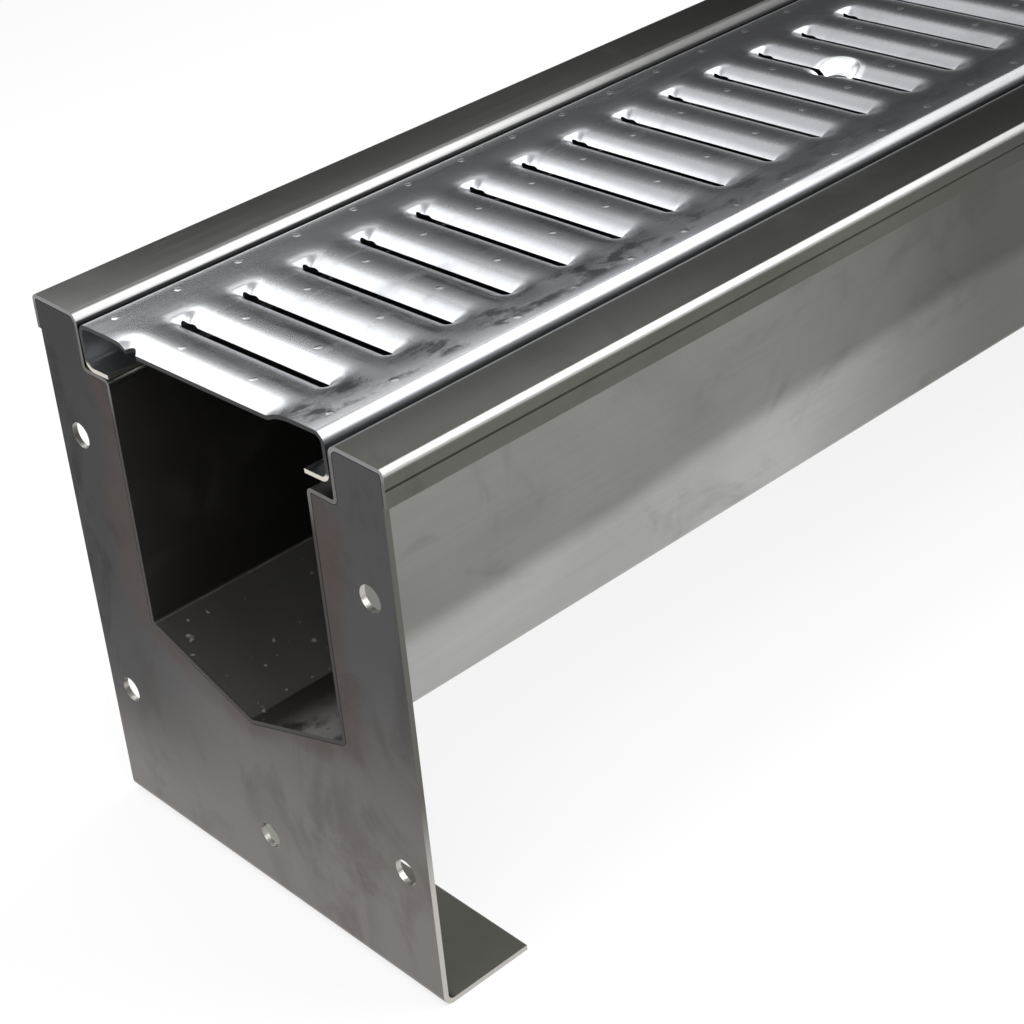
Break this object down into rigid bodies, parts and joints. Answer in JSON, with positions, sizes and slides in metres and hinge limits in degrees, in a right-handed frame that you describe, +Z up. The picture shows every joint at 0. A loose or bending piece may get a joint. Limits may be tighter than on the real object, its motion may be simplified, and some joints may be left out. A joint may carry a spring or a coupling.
{
  "type": "linear drain",
  "caption": "Straight steel drain channel with a V floor, folded flanges, footed end plates with bolt holes, and a pressed slotted grate lying in its seat.",
  "frame": {"origin": "on the floor, under the middle of the section", "axes": "+Y along the channel away from the grate's cut end, +X across it, +Z up"},
  "size_m": [0.175, 1, 0.2075],
  "materials": {
    "channel_steel": "mill-finish stainless sheet with handling smears",
    "plate_steel": "mill-finish stainless plate, browned by weld heat",
    "grate_steel": "bright pressed stainless sheet with dark smears",
    "bar_steel": "plain drawn stainless flat bar"
  },
  "bodies": {
    "root": {"channel_body": "channel_steel", "front_end_plate": "plate_steel", "rear_end_plate": "plate_steel", "grate": "grate_steel", "front_lock_bar": "bar_steel", "rear_lock_bar": "bar_steel"}
  },
  "joints": []
}
